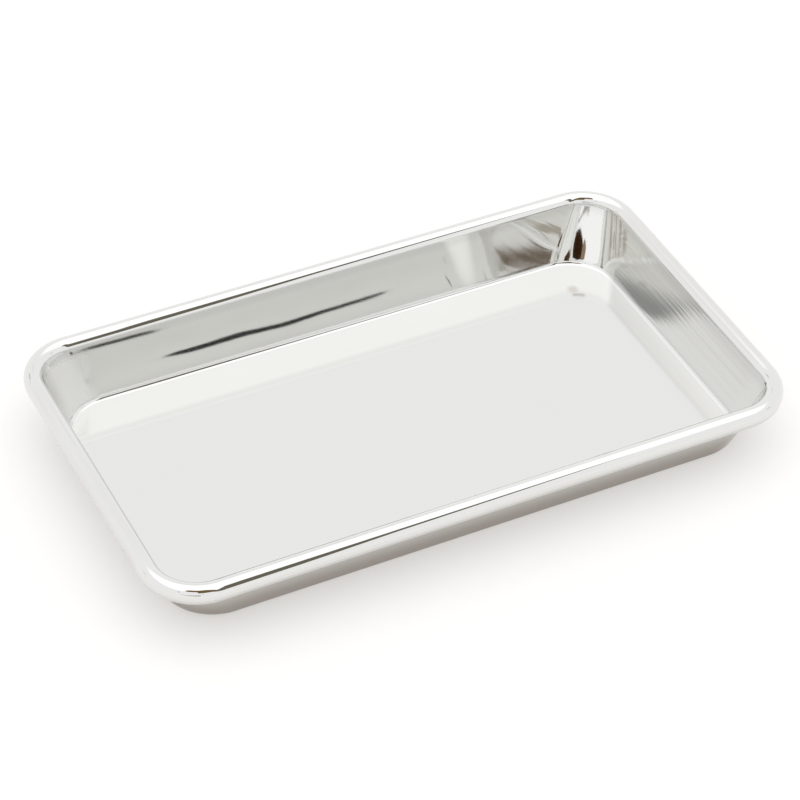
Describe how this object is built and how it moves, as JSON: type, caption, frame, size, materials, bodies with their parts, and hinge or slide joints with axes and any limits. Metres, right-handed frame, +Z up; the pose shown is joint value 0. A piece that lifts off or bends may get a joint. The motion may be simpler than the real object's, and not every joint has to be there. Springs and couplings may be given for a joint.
{
  "type": "pill counting tray",
  "caption": "Shallow rectangular steel tray with rounded corners, leaning walls and a wired, rolled rim, for counting tablets.",
  "frame": {"origin": "centre of the tray's footprint, on the surface it rests on", "axes": "+X along the long side, +Y along the short side, +Z up out of the open top"},
  "size_m": [0.228, 0.134, 0.024],
  "materials": {
    "pan_steel": "satin",
    "wire_steel": "drawn"
  },
  "bodies": {
    "root": {"tray_pan": "pan_steel", "rim_wire": "wire_steel"}
  },
  "joints": []
}
